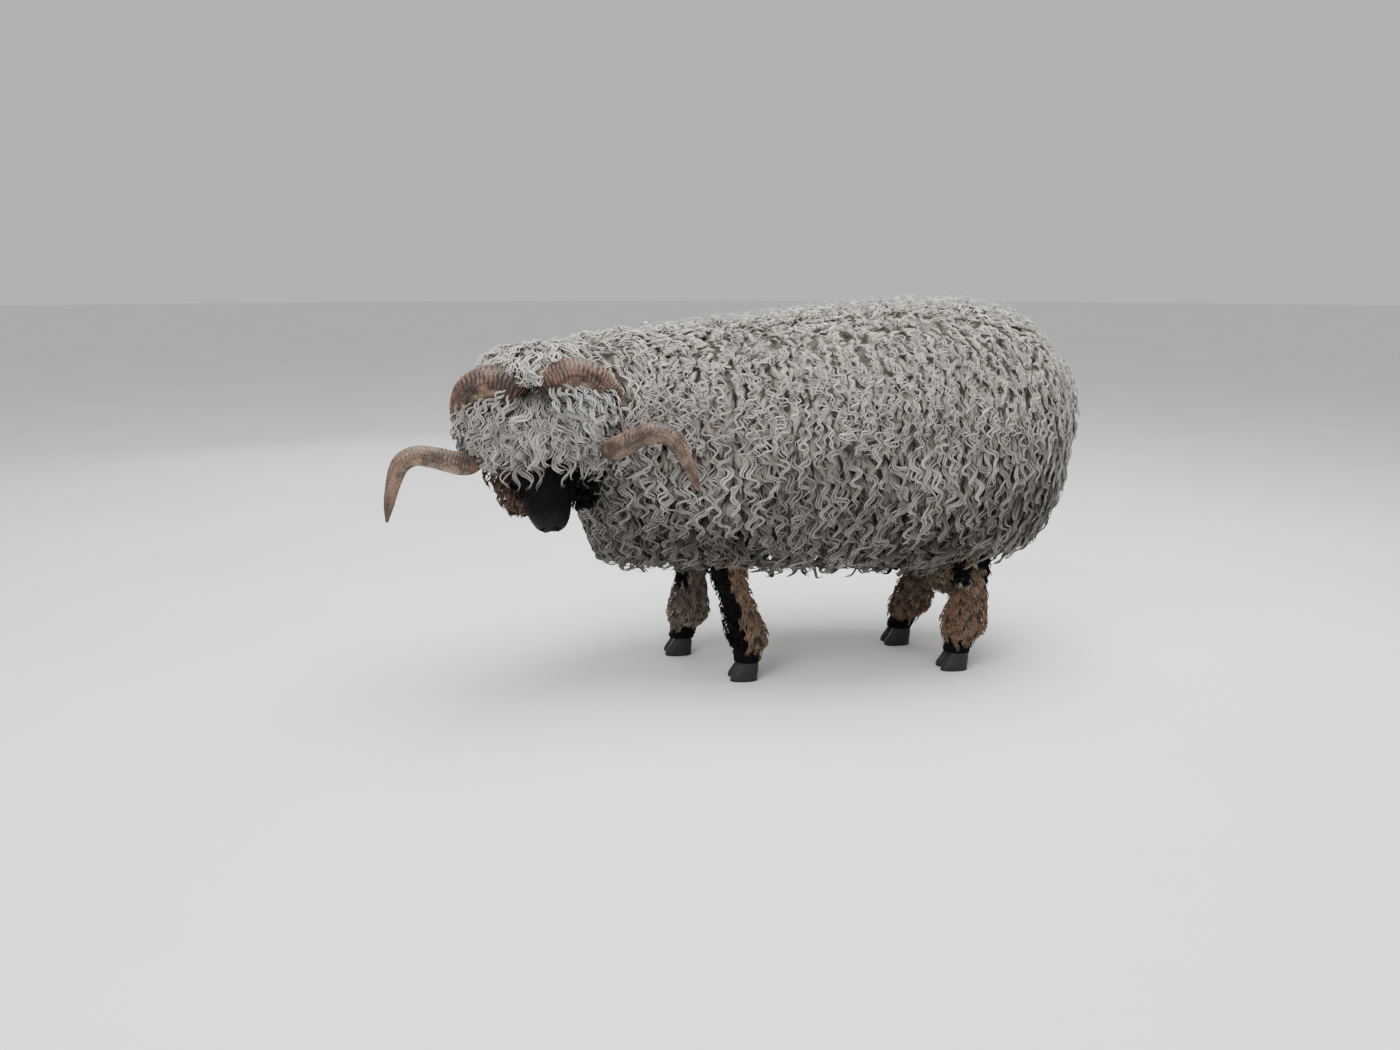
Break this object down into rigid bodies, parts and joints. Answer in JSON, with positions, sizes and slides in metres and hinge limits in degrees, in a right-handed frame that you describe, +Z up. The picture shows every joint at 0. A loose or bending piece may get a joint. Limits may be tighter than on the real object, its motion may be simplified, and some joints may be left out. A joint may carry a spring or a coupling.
{
  "type": "valais blacknose sheep",
  "caption": "Long-fleeced horned ram standing with its lowered head turned to its left; black nose, ears, knees, hocks and feet.",
  "frame": {"origin": "on the floor under the middle of the whole outline", "axes": "+Z up; the ram faces -Y and its left side is +X, with its head turned towards +X"},
  "size_m": [0.628, 1.6114, 0.877],
  "materials": {
    "cream_wool": "long wavy cream and beige locks, faintly lustrous",
    "black_coat": "short dense black hair and wool",
    "brown_wool": "short red-brown wool of the cheeks",
    "horn": "ridged brown horn, smoother and ochre towards the tip",
    "hoof": "dark horn of the claws, satin",
    "eye": "wet dark amber"
  },
  "bodies": {
    "root": {"barrel": "cream_wool", "cheek_wool_left": "brown_wool", "cheek_wool_right": "brown_wool", "ear_left": "black_coat", "ear_right": "black_coat", "eye_left": "eye", "eye_right": "eye", "fore_left_cannon": "cream_wool", "fore_left_claw_inner": "hoof", "fore_left_claw_outer": "hoof", "fore_left_forearm": "cream_wool", "fore_left_knee": "black_coat", "fore_left_pastern": "black_coat", "fore_right_cannon": "cream_wool", "fore_right_claw_inner": "hoof", "fore_right_claw_outer": "hoof", "fore_right_forearm": "cream_wool", "fore_right_knee": "black_coat", "fore_right_pastern": "black_coat", "head": "black_coat", "hind_left_cannon": "cream_wool", "hind_left_claw_inner": "hoof", "hind_left_claw_outer": "hoof", "hind_left_hock": "black_coat", "hind_left_pastern": "black_coat", "hind_left_thigh": "cream_wool", "hind_right_cannon": "cream_wool", "hind_right_claw_inner": "hoof", "hind_right_claw_outer": "hoof", "hind_right_hock": "black_coat", "hind_right_pastern": "black_coat", "hind_right_thigh": "cream_wool", "horn_left": "horn", "horn_right": "horn", "muzzle": "black_coat", "neck": "cream_wool", "poll_tuft": "cream_wool", "rump": "cream_wool", "scrotum": "cream_wool", "shoulders": "cream_wool", "tail": "cream_wool", "topknot": "cream_wool"}
  },
  "joints": []
}
